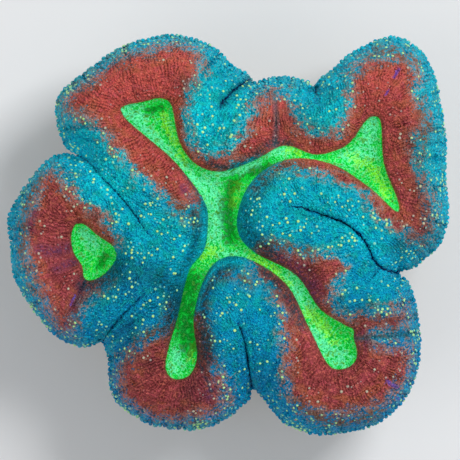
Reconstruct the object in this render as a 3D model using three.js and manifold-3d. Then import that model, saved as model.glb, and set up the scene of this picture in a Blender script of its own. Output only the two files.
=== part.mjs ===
// Open brain coral: a free-living stony coral whose fleshy mantle folds into five lobes around a forked
// valley. It grew as one piece, so it is one solid, cut off flat where it stood on the seabed.
// Millimetres, +Z up, origin at the middle of the flat cut, under the middle of the outline's box.
// +Y points to the side with the two tall lobes, +X to the lobe on their right.
import Module from "manifold-3d";
import * as THREE from "three";
import { mergeVertices } from "three/addons/utils/BufferGeometryUtils.js";

const wasm = await Module();
wasm.setup();

// Driving dimensions
const CREST_Z = 40; // level top of the folds
const RIM = { drop: 17, width: 12 }; // the flesh rolls down this far towards the outline
const CLEFT = { drop: 6.5, width: 7.5 }; // and this far into the clefts where two lobes press together
const VALLEY = { drop: 6, narrowest: 3.5, widest: 7, share: 0.6, dish: 1.5, dishWidth: 2 };
const FACET = 1.6; // grid of the valley and the clefts
const FACETS_PER_SPAN = 2; // facets of the outline between two of its points
const TOP_ROWS = 12; // rings between the middle of the top and the outline

// Foot and rolled edge from the middle of the flat cut to the outline: share of the outline's reach, height
const UNDERSIDE = [
  [0, 0], [0.44, 0], [0.58, 5.5], [0.86, 15.5], [0.94, 15], [0.985, 17.5],
];

// Outline of the whole coral seen from above, counter-clockwise from the notch on the right
const OUTLINE = [
  // upper right lobe
  [34.4, -7.7], [36.8, -7.1], [39, -5.5], [41.2, -3.5], [42.8, -1.7], [44, 1.7], [44.4, 5.3],
  [44, 9.3], [43.8, 13.3], [44, 17.3], [43.6, 21.3], [42.8, 26.1], [41.2, 32.9], [39.8, 35.7],
  [38, 37.7], [35.6, 39.1], [32.8, 39.9], [29.6, 39.1], [24.2, 36.3], [19.8, 32.5], [18.3, 31.6],
  // fold at the top
  [17.1, 29.7], [16.4, 30.7], [14, 31.5], [10.8, 31.9], [7.6, 31.5], [5.2, 30.9],
  // upper left lobe
  [3.6, 32.7], [1.6, 33.7], [-2.4, 37.5], [-5.2, 38.9], [-8.4, 39.9], [-11.6, 40.3],
  [-15.2, 39.7], [-21.2, 37.9], [-26.8, 34.1], [-32.4, 29.9], [-34.2, 27.9], [-34.8, 25.7],
  [-34.4, 22.5], [-33.6, 19.3], [-32.4, 17.1],
  // left lobe
  [-30.2, 15.9], [-32.4, 16.5], [-34.8, 15.9], [-37, 14.3], [-41.6, 8.7], [-43.8, 4.9],
  [-44.4, 2.1], [-43.8, -1.1], [-43.4, -7.1], [-42.2, -10.5], [-37.6, -17.3], [-34.6, -20.5],
  [-31.2, -22.3], [-27.6, -22.7],
  // lower left lobe
  [-25.2, -21.7], [-24.4, -24.3], [-23.8, -30.7], [-22.4, -33.7], [-16.4, -37.9], [-12, -38.9],
  [-7.2, -39.3], [-3.6, -38.7], [0, -36.9], [3, -34.3], [4.4, -31.9],
  // lower right lobe
  [4.4, -29.3], [5.6, -31.5], [10.4, -37.3], [14, -39.3], [18.4, -40.3], [23.2, -39.9],
  [28, -38.9], [32, -36.7], [35.2, -33.5], [37.2, -29.9], [38.4, -25.9], [38.8, -21.5],
  [38.2, -15.9], [37, -10.9], [35.8, -8.7],
];

// Floor of the forked valley: upper left arm, upper right arm, lower right arm, lower left arm
const MAIN_VALLEY = [
  [-21.4, 24.9], [-16.4, 26.5], [-13.6, 27.1], [-11.6, 26.3], [-10, 19.5], [-8.4, 16.1],
  [-5.6, 13.5], [-1.6, 12.5], [5.2, 14.7], [11.2, 17.7], [17.2, 15.9], [20.8, 16.5], [24, 18.1],
  [27.8, 23.3], [30, 23.3], [31, 14.1], [34, 5.9], [33.8, 4.5], [28.4, 9.1], [20.4, 14.1],
  [11.6, 14.9], [4.8, 10.7], [1.8, 3.3], [2.4, -0.5], [5.2, -3.5], [13.6, -8.1], [18.4, -14.9],
  [24.6, -18.9], [25.6, -24.3], [23.6, -26.5], [20.8, -26.7], [16.4, -19.1], [11.6, -9.9],
  [3.6, -4.7], [-0.4, -4.5], [-3.6, -6.7], [-6.8, -16.3], [-6.2, -24.7], [-7.8, -28.1],
  [-10.8, -28.7], [-12.4, -26.7], [-10, -16.3], [-7.6, -6.9], [-4.8, -3.1], [-4, 1.7],
  [-4.4, 5.9], [-10.4, 14.3],
];

// Floor of the left lobe's own valley
const LEFT_VALLEY = [
  [-31.2, -0.7], [-30.4, 1.9], [-28.8, 2.1], [-26, -0.1], [-22.8, -2.5], [-22.2, -4.5],
  [-24, -7.3], [-26.4, -8.9], [-28.4, -8.9], [-29, -6.3], [-30.6, -3.7],
];

// Clefts where two lobes press together, each from the outline inwards
const CLEFTS = [
  [[-30.2, 15.9], [-27.6, 14.3], [-24.8, 11.1], [-21.2, 7.3], [-17.4, 2.5], [-13.4, -1.5]],
  [[-25.2, -21.7], [-23.2, -18.7], [-20.8, -15.9], [-18, -13.1], [-15.6, -10.7]],
  [[4.4, -31.1], [4, -27.1], [3.4, -22.7], [2.4, -19.1], [1.4, -16.1]],
  [[34.4, -7.7], [30.2, -6.5], [27, -1.1], [24, 1.7], [20.4, 3.3], [13, 5.5], [10.6, 5.1]],
  [[4.8, 31.1], [2.4, 29.7], [0.4, 27.9], [-1.2, 26.1], [-1.8, 23.9]],
  [[17.1, 29.7], [17.6, 27.7]],
];

// Points along the smooth curve through a list of points
function trace(points, closed) {
  const stops = points.map(([x, y]) => new THREE.Vector3(x, y, 0));
  const spans = closed ? points.length : points.length - 1;
  const curve = new THREE.CatmullRomCurve3(stops, closed, "centripetal");
  const traced = curve.getPoints(spans * FACETS_PER_SPAN);
  if (closed) traced.pop();
  return traced;
}

function distanceToPath(x, y, path, closed) {
  const spans = closed ? path.length : path.length - 1;
  let nearest = Infinity;
  for (let i = 0; i < spans; i++) {
    const a = path[i];
    const b = path[(i + 1) % path.length];
    const dx = b.x - a.x;
    const dy = b.y - a.y;
    const along = ((x - a.x) * dx + (y - a.y) * dy) / (dx * dx + dy * dy);
    const t = THREE.MathUtils.clamp(along, 0, 1);
    nearest = Math.min(nearest, Math.hypot(x - a.x - t * dx, y - a.y - t * dy));
  }
  return nearest;
}

// Even-odd rule: counts the sides of the path that a ray along +X crosses
function isInside(x, y, path) {
  let inside = false;
  for (let i = 0; i < path.length; i++) {
    const a = path[i];
    const b = path[(i + 1) % path.length];
    const crosses = a.y > y !== b.y > y && x < a.x + ((y - a.y) / (b.y - a.y)) * (b.x - a.x);
    if (crosses) inside = !inside;
  }
  return inside;
}

const outline = trace(OUTLINE, true);
const valleys = [MAIN_VALLEY, LEFT_VALLEY].map((points) => trace(points, true));
const clefts = CLEFTS.map((points) => trace(points, false));

// Distance outside the nearest valley floor, negative on the floor itself
function distanceToValley(x, y) {
  return Math.min(
    ...valleys.map((path) => distanceToPath(x, y, path, true) * (isInside(x, y, path) ? -1 : 1)),
  );
}

// Height of the rolled edge: a quarter of an ellipse from the outline up to the level crest
function rimHeight(x, y) {
  const share = 1 - Math.min(distanceToPath(x, y, outline, true) / RIM.width, 1);
  return CREST_Z - RIM.drop * (1 - Math.sqrt(1 - share * share));
}

// A smooth step: the full drop at distance 0, level from distance width on
function easedDrop(distance, drop, width) {
  return drop * (1 - THREE.MathUtils.smoothstep(distance, 0, width));
}

// How far the valley and the clefts sink below the crest. A fold between the valley and the nearest cleft
// or outline takes a share of its breadth for its bank: steep on a narrow fold, gentle on a broad one.
function sinkDepth(x, y) {
  const toCleft = Math.min(...clefts.map((path) => distanceToPath(x, y, path, false)));
  const toValley = distanceToValley(x, y);
  const breadth = Math.max(toValley, 0) + Math.min(toCleft, distanceToPath(x, y, outline, true));
  const bankWidth = THREE.MathUtils.clamp(VALLEY.share * breadth, VALLEY.narrowest, VALLEY.widest);
  const bank = easedDrop(toValley, VALLEY.drop, bankWidth);
  const dish = VALLEY.dish * (1 - Math.exp(Math.min(toValley, 0) / VALLEY.dishWidth));
  return bank + dish + easedDrop(toCleft, CLEFT.drop, CLEFT.width);
}

// A lathe of the unit profile, with every ring then stretched to the outline and its top rolled down to it
function pillowGeometry() {
  const rimZ = CREST_Z - RIM.drop;
  const profile = [...UNDERSIDE, [1, rimZ]].map(([reach, z]) => new THREE.Vector2(reach, z));
  for (let row = TOP_ROWS - 1; row >= 0; row--) {
    profile.push(new THREE.Vector2(Math.sin((row / TOP_ROWS) * (Math.PI / 2)), CREST_Z));
  }
  const geometry = new THREE.LatheGeometry(profile, outline.length);
  const position = geometry.getAttribute("position");
  for (let vertex = 0; vertex < position.count; vertex++) {
    const edge = outline[Math.floor(vertex / profile.length) % outline.length];
    const ring = profile[vertex % profile.length];
    const x = ring.x * edge.x;
    const y = ring.x * edge.y;
    position.setXYZ(vertex, x, y, ring.y === CREST_Z ? rimHeight(x, y) : ring.y);
  }
  return geometry;
}

// What the valley and the clefts take away: a slab over the crest whose underside dips down into them
function hollowsGeometry() {
  const box = new THREE.Box3().setFromPoints(outline);
  const size = box.getSize(new THREE.Vector3()).addScalar(2 * FACET);
  const columns = Math.round(size.x / FACET);
  const rows = Math.round(size.y / FACET);
  const clear = 1; // height of the underside over the crest, where nothing sinks
  const geometry = new THREE.BoxGeometry(size.x, size.y, CLEFT.drop, columns, rows, 1);
  geometry.translate(0, 0, CREST_Z + clear + CLEFT.drop / 2);
  const position = geometry.getAttribute("position");
  for (let vertex = 0; vertex < position.count; vertex++) {
    const x = position.getX(vertex);
    const y = position.getY(vertex);
    if (position.getZ(vertex) > CREST_Z + clear + CLEFT.drop / 2) continue;
    position.setZ(vertex, CREST_Z + clear - sinkDepth(x, y));
  }
  return geometry;
}

function toManifold(geometry) {
  geometry.deleteAttribute("normal");
  geometry.deleteAttribute("uv");
  const merged = mergeVertices(geometry, 1e-4);
  const vertProperties = new Float32Array(merged.getAttribute("position").array);
  const triVerts = new Uint32Array(merged.getIndex().array);
  return new wasm.Manifold(new wasm.Mesh({ numProp: 3, vertProperties, triVerts }));
}

function toGeometry(manifold) {
  const { vertProperties, triVerts } = manifold.getMesh();
  const geometry = new THREE.BufferGeometry();
  geometry.setAttribute("position", new THREE.BufferAttribute(vertProperties, 3));
  geometry.setIndex(new THREE.BufferAttribute(triVerts, 1));
  geometry.computeVertexNormals();
  return geometry;
}

const coralSolid = toManifold(pillowGeometry()).subtract(toManifold(hollowsGeometry()));
const flesh = new THREE.MeshStandardMaterial({ color: 0x0e93a8, roughness: 0.45, metalness: 0 });

const coral = new THREE.Mesh(toGeometry(coralSolid), flesh);
coral.name = "brain_coral";

const part = new THREE.Group();
part.add(coral);

export default part;
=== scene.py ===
"""Open brain coral with its flesh spread: puffy lobes folded round a forked green valley.

The file is laid out as an add-on and is run as a script. Everything is in metres, in the part's own frame:
+Z up from the flat cut it rests on. The listed curves are in millimetres at the coral's modelled width,
and UNIT turns them into metres.
"""

import bpy
import numpy as np
from bpy.props import FloatProperty, FloatVectorProperty, IntProperty, PointerProperty
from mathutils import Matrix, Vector


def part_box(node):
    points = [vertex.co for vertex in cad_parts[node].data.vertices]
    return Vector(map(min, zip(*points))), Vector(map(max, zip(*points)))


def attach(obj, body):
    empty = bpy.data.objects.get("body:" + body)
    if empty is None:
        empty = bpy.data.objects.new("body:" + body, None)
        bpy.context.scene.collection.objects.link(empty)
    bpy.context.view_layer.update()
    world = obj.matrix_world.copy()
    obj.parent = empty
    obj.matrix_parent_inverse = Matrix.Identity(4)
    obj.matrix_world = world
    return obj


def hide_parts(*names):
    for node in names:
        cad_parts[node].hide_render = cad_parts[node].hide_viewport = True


bl_info = {
    "name": "Open Brain Coral",
    "version": (1, 0, 0),
    "blender": (4, 5, 0),
    "location": "View3D > Sidebar > Coral",
    "description": "Builds an open brain coral with its skeleton, papillae and a studio stage",
    "category": "Add Mesh",
}

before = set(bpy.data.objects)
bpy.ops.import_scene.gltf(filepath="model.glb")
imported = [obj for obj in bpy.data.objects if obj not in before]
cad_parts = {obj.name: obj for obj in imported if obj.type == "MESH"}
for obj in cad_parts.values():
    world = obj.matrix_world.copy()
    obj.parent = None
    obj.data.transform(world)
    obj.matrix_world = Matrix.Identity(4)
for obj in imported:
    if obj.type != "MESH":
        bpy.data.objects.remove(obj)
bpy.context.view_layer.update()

NODE = "brain_coral"
LOW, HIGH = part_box(NODE)
MODELLED_WIDTH = 88.8  # width that the curves below are drawn at
UNIT = (HIGH.x - LOW.x) / MODELLED_WIDTH  # metres for each of the curves' millimetres
CREST = (HIGH.z - LOW.z) / UNIT  # level of the solid's crest, in the same millimetres

# Outline of the whole coral seen from above, counter-clockwise from the notch on the right
OUTLINE = (
    # upper right lobe
    (34.4, -7.7), (36.8, -7.1), (39, -5.5), (41.2, -3.5), (42.8, -1.7), (44, 1.7), (44.4, 5.3),
    (44, 9.3), (43.8, 13.3), (44, 17.3), (43.6, 21.3), (42.8, 26.1), (41.2, 32.9), (39.8, 35.7),
    (38, 37.7), (35.6, 39.1), (32.8, 39.9), (29.6, 39.1), (24.2, 36.3), (19.8, 32.5), (18.3, 31.6),
    # fold at the top
    (17.1, 29.7), (16.4, 30.7), (14, 31.5), (10.8, 31.9), (7.6, 31.5), (5.2, 30.9),
    # upper left lobe
    (3.6, 32.7), (1.6, 33.7), (-2.4, 37.5), (-5.2, 38.9), (-8.4, 39.9), (-11.6, 40.3),
    (-15.2, 39.7), (-21.2, 37.9), (-26.8, 34.1), (-32.4, 29.9), (-34.2, 27.9), (-34.8, 25.7),
    (-34.4, 22.5), (-33.6, 19.3), (-32.4, 17.1),
    # left lobe
    (-30.2, 15.9), (-32.4, 16.5), (-34.8, 15.9), (-37, 14.3), (-41.6, 8.7), (-43.8, 4.9),
    (-44.4, 2.1), (-43.8, -1.1), (-43.4, -7.1), (-42.2, -10.5), (-37.6, -17.3), (-34.6, -20.5),
    (-31.2, -22.3), (-27.6, -22.7),
    # lower left lobe
    (-25.2, -21.7), (-24.4, -24.3), (-23.8, -30.7), (-22.4, -33.7), (-16.4, -37.9), (-12, -38.9),
    (-7.2, -39.3), (-3.6, -38.7), (0, -36.9), (3, -34.5), (4.7, -32.6),
    # lower right lobe
    (5, -31), (6.4, -32.5), (10.4, -37.3), (14, -39.3), (18.4, -40.3), (23.2, -39.9),
    (28, -38.9), (32, -36.7), (35.2, -33.5), (37.2, -29.9), (38.4, -25.9), (38.8, -21.5),
    (38.2, -15.9), (37, -10.9), (35.8, -8.7),
)

# Floors of the valleys: the forked one, then the left lobe's own
VALLEYS = (
    (
        (-21.4, 24.9), (-16.4, 26.5), (-13.6, 27.1), (-11.6, 26.3), (-10, 19.5), (-8.4, 16.1),
        (-5.6, 13.5), (-1.6, 12.5), (5.2, 14.7), (11.2, 17.7), (17.2, 15.9), (20.8, 16.5), (24, 18.1),
        (27.6, 22.8), (28.4, 23.4), (29.9, 23.3), (30.4, 22.2), (31, 14.1), (34, 5.9), (33.8, 4.5),
        (28.4, 9.1), (20.4, 14.1), (11.6, 14.9), (4.8, 10.7), (1.8, 3.3), (2.4, -0.5), (5.2, -3.5),
        (13.6, -8.1), (18.4, -14.9), (23.8, -18.3), (24.9, -18.9), (25, -20.6), (25.7, -23.8),
        (24.8, -25.8), (23, -26.7), (20.6, -26.5), (16.4, -19.1), (11.6, -9.9),
        (3.6, -4.7), (-0.4, -4.5), (-3.6, -6.7), (-6.8, -16.3), (-6.2, -24.7), (-7.8, -28.1),
        (-10.8, -28.7), (-12.4, -26.7), (-10, -16.3), (-7.6, -6.9), (-4.8, -3.1), (-4, 1.7),
        (-4.4, 5.9), (-10.4, 14.3),
    ),
    (
        (-31.2, -0.7), (-30.4, 1.9), (-28.8, 2.1), (-26, -0.1), (-22.8, -2.5), (-22.2, -4.5),
        (-24, -7.3), (-26.4, -8.9), (-28.4, -8.9), (-29, -6.3), (-30.6, -3.7),
    ),
)

# Clefts where two lobes press together, each from the outline inwards: depth and gape at its start, points
CLEFTS = (
    (5.5, 0.03, (
        (-30.2, 15.9), (-27.6, 14.3), (-24.8, 11.1), (-21.2, 7.3), (-17.4, 2.5), (-15.4, -0.2), (-13.2, -1.4),
    )),
    (5.5, 0.02, ((-25.2, -21.7), (-23.2, -18.7), (-20.8, -15.9), (-18, -13.1), (-15.6, -10.7))),
    (6, 0.06, (
        (5.1, -32.8), (4.6, -29.4), (4.1, -26.5), (3.6, -23), (2.9, -19.9), (1.9, -16.9), (1.5, -15.4),
    )),
    (7, 0.13, ((34.4, -7.7), (30.2, -6.5), (27, -1.1), (24, 1.7), (20.4, 3.3), (13, 5.5), (10.6, 5.1))),
    (3, 0.04, ((30.2, -6.7), (28.4, -8.9))),
    (5, 0.08, ((4.8, 31.1), (2.4, 29.7), (0.4, 27.9), (-1.2, 26.1), (-1.8, 23.9))),
    (3.5, 0.06, ((17.1, 29.7), (17.6, 27.7))),
)

# Shallow furrows along the flesh: depth at its start, gape, points
FURROWS = (
    (1.4, 0, ((9.4, 17.6), (9.6, 22.5), (9.2, 28))),
    (1.6, 0, ((25.4, -20.7), (29, -20.4), (33, -20.3), (38, -19.6))),
    (1.1, 0, ((-28.6, -9.6), (-30.2, -13), (-31.6, -18.6))),
    (0.7, 0, ((33.6, 3.8), (35, 1.6), (36.4, -1.2))),
    (0.7, 0, ((27.4, 25), (26.4, 29), (26.6, 33))),
    (0.8, 0, ((32, 20), (34.4, 22), (37, 21.4))),
    (0.6, 0, ((32.4, 14), (35, 14.6), (37.6, 13))),
    (0.7, 0, ((-24, 27), (-27, 29), (-29.6, 31))),
    (0.6, 0, ((20, -27.4), (19.6, -31), (20.4, -35))),
    (0.6, 0, ((-11, -29.4), (-13, -32.6), (-14, -36))),
    (0.8, 0, ((-6.4, -22), (-5.4, -26), (-3.2, -31.4))),
    (0.6, 0, ((3, 4.4), (3.8, 1.3), (5.4, -0.9), (7, -2.4))),
)

# Brick-red bands round the valleys' ends
RED_BANDS = (
    (
        (-33.2, 25.3), (-32.8, 27.3), (-29.2, 30.5), (-25.2, 33.5), (-21.2, 35.5), (-16, 37.1),
        (-10.8, 38.3), (-7.2, 37.3), (-5.2, 34.5), (-6, 31.7), (-7.6, 28.5), (-8.4, 24.5),
        (-8.2, 20.5), (-6.8, 17.3), (-3.6, 15.5), (-0.4, 15.7), (2.4, 18.3), (4, 22.1), (7.6, 28.3),
        (11.2, 27.5), (12.8, 25.3), (14.4, 21.7), (17.6, 19.9), (21.2, 20.1), (23.2, 22.7),
        (24.4, 26.1), (24.8, 30.5), (26, 33.7), (29.6, 35.3), (34, 35.5), (37.2, 33.9), (38, 31.3),
        (36.6, 28.1), (38.8, 24.9), (39.4, 21.7), (37, 19.7), (36.8, 16.5), (38, 12.5), (39.6, 8.1),
        (40.4, 4.5), (39.2, 0.1), (37.2, -1.1), (34, 1.1), (30, 4.1), (27.2, 7.7), (23.2, 10.3),
        (18, 12.3), (12.4, 13.7), (6.8, 15.3), (0.4, 13.3), (-4.8, 8.9), (-6.4, 5.7), (-8.8, 4.9),
        (-12, 7.3), (-16.4, 10.9), (-20.8, 15.3), (-24, 19.3), (-26.8, 22.7), (-30.4, 23.5),
    ),
    (
        (-37.6, 11.3), (-35.2, 12.5), (-32.4, 10.1), (-29.2, 6.5), (-26, 4.5), (-24, 1.7),
        (-22.4, -1.7), (-24.8, -3.5), (-26.4, -6.7), (-24.4, -8.7), (-26.8, -11.5), (-29.6, -14.7),
        (-31, -18.3), (-32.8, -20.3), (-34.8, -18.3), (-36.4, -14.7), (-38.2, -10.3), (-40.2, -5.1),
        (-40.8, -1.1), (-40.1, 4.1), (-38.4, 8.6),
    ),
    (
        (-8.8, -17.1), (-12.4, -18.7), (-16, -21.1), (-20, -24.5), (-22.4, -28.7), (-21.6, -33),
        (-17.6, -36.1), (-12.2, -37.7), (-7.2, -36.9), (-2.2, -35.6), (-0.4, -32.3), (-1.6, -27.9),
        (-3.6, -23.1), (-4.4, -18.7), (-5.6, -15.1),
    ),
    (
        (6.8, -2.3), (11.2, -2.9), (16.4, -4.5), (21.2, -4.9), (23.2, -6.7), (21.2, -9.9),
        (20.4, -13.1), (22.8, -16.3), (26.8, -15.9), (31.2, -15.9), (35.2, -14.9), (35.6, -16.7),
        (32.4, -18.7), (28.4, -19.5), (28.8, -21.5), (32.8, -21.7), (36, -22.7), (36.6, -25.5),
        (35.2, -29.5), (31.6, -33.1), (26.8, -35.3), (21.2, -36.1), (15.6, -34.9), (12.6, -31.5),
        (11.4, -26.3), (11.2, -20.3), (10.8, -15.1), (8, -9.9), (5.2, -6.7),
    ),
)

# Tints laid over the flesh in soft strokes: breadth, points along the middle of each
TINTS = {
    "shade": (  # deep flanks beside the valley, out of the light
        (2.3, ((6.2, 9.8), (4.2, 5.6), (4, 1.5), (5.6, -1.6), (8.6, -3.8))),
        (1.1, ((-7, 4.8), (-6.2, 1), (-7, -3), (-9.8, -8))),
        (2.3, ((-13.6, -8.4), (-11.2, -11.6), (-11, -16), (-12, -19.4))),
        (1.8, ((0.4, -5.6), (-3.4, -8.6), (-5, -13), (-4.8, -19), (-3.6, -25))),
        (1, ((5, 15.4), (9, 18.2), (12.2, 17.9))),
        (0.8, ((-9, 13), (-6.6, 9.4), (-5.2, 6), (-5, 2))),
        (0.9, ((-4, 14.4), (-0.6, 13.2), (3, 14.4))),
        (1.2, ((-5, -19.6), (-4.7, -23.6))),
        (1.6, ((7, -7.2), (12, -12.6), (14.4, -17.6))),
        (1.6, ((-28.6, -9.8), (-25, -9.4), (-21.6, -6))),
        # Painted shade along thin creases and down the cleft at the top
        (0.35, ((3, 4.4), (3.8, 1.3), (5.4, -0.9), (7, -2.4))),
        (0.9, ((4.6, 31), (2.4, 29.7), (0.4, 27.9), (-1, 26.1))),
        (0.35, ((-6.4, -22), (-5.4, -26), (-3.2, -31.4))),
    ),
    "haze": (  # brown over the teal
        (1.4, ((5.4, 9.4), (8, 12), (11.4, 13.6), (15, 13))),
        (1.1, ((-3.6, -8.4), (-5.2, -13), (-5, -18), (-4.2, -22))),
        (1.3, ((-2.6, -8), (1, -8), (4.4, -9.8))),
        (1.6, ((-11, 5.8), (-8, 4), (-6.8, 2.6))),
        (1, ((6.8, -1.7), (11, -2.4), (16, -3.4))),
        (1.2, ((-11.6, -14.4), (-12.6, -18.4), (-16, -20))),
        (1.2, ((30, 36.4), (33.6, 36.4), (36.6, 34.2))),
        (1.3, ((38.4, 24.6), (39.4, 20.6), (37.8, 17.4))),
        (0.6, ((-36.8, 11.4), (-39.6, 7.4), (-40.8, 2), (-40.8, -4))),
        (1.1, ((13.4, -33.4), (18, -36.4), (24, -37.2), (30, -35.2))),
    ),
    "crown": (  # clumps of bright papillae
        (0.9, ((37.4, 28.4), (40, 29), (42.6, 29.6))),
        (1, ((-37.4, -17.2), (-39.6, -14))),
        (1.1, ((36, -19), (38.4, -20.2))),
        (1.2, ((-22.6, -33), (-19.4, -36))),
        (1.2, ((-8, -38.4), (-4.8, -38))),
        (1.1, ((12.4, -38), (16, -39.4))),
        (0.8, ((42, 12), (43.4, 11.6))),
        (0.8, ((-22.6, 36.2), (-18, 38.2))),
        (0.8, ((-32.8, 28.4), (-31, 29.8))),
        (0.8, ((-25, 18.8), (-20.6, 14.6), (-16.4, 10.6))),
        (1.5, ((-5.8, 25), (-4.6, 21.6), (-2, 19.4))),
        (1.3, ((-14.6, 6), (-12.4, 3.2))),
    ),
    # Painted shade: broad parts of the lobes darkened as if out of the light
    "dusk": (  # broad darker parts of the lobes
        (3.2, ((-17, -7.6), (-23, -9.4), (-29, -13))),
        (2.8, ((-19.6, -19.4), (-16.6, -25))),
        (2.4, ((-5.6, -22), (-6.4, -27), (-8, -33))),
        (1.8, ((-9.4, -10.6), (-9.2, -15.6))),
        (2, ((36.4, 20), (37.8, 12), (39, 3))),
        (2.4, ((39.6, 0.6), (34.6, -1.4))),
        (2.6, ((12.6, 23.4), (18, 21))),
        (2.6, ((27, -15), (32.4, -17.6))),
        (1.8, ((-9.4, 30.6), (-7, 29.4))),
    ),
    # Painted light: broad parts of the lobes made to glow brighter, as if in the light
    "light": (  # and broad lighter ones
        (1.8, ((9, 17.6), (17, 15), (24.6, 15.4))),
        (2.2, ((26.4, 1), (29, -4), (32.6, -7.2))),
        (1.8, ((30.6, 8), (34, 6))),
        (1.8, ((13.4, -15.6), (16, -20.4), (18.6, -25.6))),
        (2.2, ((-38, -3), (-36.4, -8.6), (-34, -13.4))),
        (1.4, ((5.4, 10), (4.6, 6), (5.2, 1.4))),
        (1.8, ((-30.4, 16.6), (-26.6, 12), (-23.6, 9))),
        (1.8, ((-8.6, 10.4), (-5.8, 8))),
        (1.6, ((-6.8, 24), (-5.6, 20.6))),
        (1.6, ((-8.6, -3), (-8.4, -6.6))),
    ),
    "gleam": (  # cyan light along the valley's edge
        (0.5, ((-4.9, 4.4), (-4.5, 1.4), (-5.2, -2.6), (-6.4, -5))),
        (0.6, ((-1.8, -6), (0.6, -5.3), (3.4, -5.5))),
        (0.45, ((-2.6, -6.8), (-4.4, -9.4), (-5.6, -12.4), (-6, -15))),
    ),
    "plum": (  # red that turns to purple and grey
        (2.2, ((9.6, -4.2), (13, -6.4), (15.6, -9), (17.6, -13))),
        (0.9, ((-9, 9.4), (-7, 6.6), (-6.4, 4.4))),
        (1.2, ((-31.8, -2.6), (-35, -3.4), (-37.6, -2.8))),
        (1, ((-30.6, -5.4), (-34, -6.8))),
        (1.2, ((-28.6, -10), (-29.9, -13.4), (-31.4, -18))),
        (1.1, ((-38.6, 4.6), (-39.6, 1.4))),
        (1.8, ((-3.8, -22), (-2.6, -27), (-3.6, -32))),
        (2.2, ((25.6, -20.4), (29, -21), (33, -21.4))),
    ),
    # Partly painted light: mint lies mostly along the floor's lit banks, partly its own paler colour
    "mint": (  # paler parts of the valley floor
        (2.7, ((-20.6, 24.6), (-18.4, 23.6))),
        (1.2, ((-18, 22.8), (-13.4, 18), (-8.4, 13), (-6, 10))),
        (2.4, ((-4.4, 10.4), (-3, 7.6), (-2.4, 3.4), (-2.8, -1))),
        (1.2, ((-2, 11.8), (2.2, 12.8), (6, 14))),
        (1.7, ((28.6, 22.4), (27.8, 18.6))),
        (2.2, ((24, 15.4), (27.8, 15.8))),
        (1.2, ((8.4, 16.2), (12, 16.8))),
        (1.8, ((11.6, -8.6), (14.2, -11.8), (16, -14.4))),
        (2.2, ((17.4, -19.6), (19.6, -22.6), (22.6, -25))),
        (1.7, ((-10.4, -26.6), (-10, -23.6))),
        (1.3, ((-1.8, -4), (1.4, -4.4), (4, -5))),
        (1.6, ((-28.4, 0), (-26.6, -2))),
    ),
    "lemon": (  # yellower streaks in it
        (1.1, ((-13, 23.6), (-11.2, 19.6), (-9.2, 15.6))),
        (1, ((1.8, 10), (1, 6))),
        (1.3, ((-2.6, -2.8), (-4.8, -4.6))),
        (0.8, ((12, 16.9), (14.4, 16.1))),
        (1.3, ((24.6, 15.4), (28.6, 13.4), (31.6, 8.2))),
        (1.1, ((4.8, -4.4), (9, -7), (12, -10))),
        (1.2, ((16, -15.4), (18.2, -17.6), (20.6, -21))),
        (0.7, ((-7.2, -22), (-7.4, -25))),
    ),
    # Painted shade in the floor's hollows
    "deep": (  # and its darker hollows
        (0.9, ((-16, 24.7), (-13.4, 25.2))),
        (1.5, ((1.4, 11), (0.4, 7.6), (-0.2, 3.4), (0.6, -0.4))),
        (0.9, ((3.6, 11.6), (7.6, 13.7))),
        (2.2, ((-7.6, -9), (-8.4, -13), (-8.6, -18), (-7.8, -22))),
        (0.2, ((10.9, -8.7), (11.7, -9.8))),
        (0.4, ((3.4, 11), (5.4, 12.4))),
        (0.8, ((-24.4, -4.4), (-25.6, -6.4))),
    ),
}

# Small violet marks: breadth, points
VIOLET_MARKS = (
    (0.42, ((33, 31.2), (33.9, 32.8))),
    (0.3, ((31.2, 27.6), (31.8, 28.6))),
    (0.55, ((31.6, -29.2), (33.4, -30.3))),
    (0.36, ((33.4, -32.4), (34.6, -33))),
    (0.3, ((-30.4, -12), (-31.2, -14))),
)


# ------------------------------------------------------------------------------------------ plain numbers
def smooth_path(points, closed, steps=5):
    """Centripetal Catmull-Rom curve through the points, `steps` points from each one to the next.

    Each span is the cubic whose end slopes come from its neighbours, timed by the square root of the gaps.
    """
    stops = np.asarray(points, float)
    if closed:
        four = [np.roll(stops, shift, axis=0) for shift in (1, 0, -1, -2)]
    else:
        padded = np.vstack((2 * stops[0] - stops[1], stops, 2 * stops[-1] - stops[-2]))
        four = [padded[first : len(padded) - 3 + first] for first in range(4)]
    gaps = [np.sqrt(np.hypot(*(b - a).T))[:, None] for a, b in zip(four, four[1:])]
    steps_between = [b - a for a, b in zip(four, four[1:])]
    slopes = []
    for k in (0, 1):
        near = steps_between[k] / gaps[k] + steps_between[k + 1] / gaps[k + 1]
        slopes.append((near - (steps_between[k] + steps_between[k + 1]) / (gaps[k] + gaps[k + 1])) * gaps[1])
    t = np.linspace(0, 1, steps, endpoint=False)[None, :, None]
    start, end = four[1][:, None], four[2][:, None]
    leave, arrive = slopes[0][:, None], slopes[1][:, None]
    path = (
        (2 * t**3 - 3 * t**2 + 1) * start
        + (t**3 - 2 * t**2 + t) * leave
        + (3 * t**2 - 2 * t**3) * end
        + (t**3 - t**2) * arrive
    ).reshape(-1, 2)
    return path if closed else np.vstack((path, stops[-1]))


def inset_path(path, distance):
    """The closed path moved inwards along its normals, which are square to its neighbours' chord."""
    chord = np.roll(path, -1, axis=0) - np.roll(path, 1, axis=0)
    chord /= np.hypot(*chord.T)[:, None]
    return path + distance * np.stack((-chord[:, 1], chord[:, 0]), axis=1)


def in_chunks(measure, x, y, size=6000):
    """Runs measure(x, y) on a few thousand points at a time and joins its rows, to bound the memory."""
    parts = [measure(x[i : i + size], y[i : i + size]) for i in range(0, len(x), size)]
    return np.concatenate(parts, axis=-1)


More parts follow.
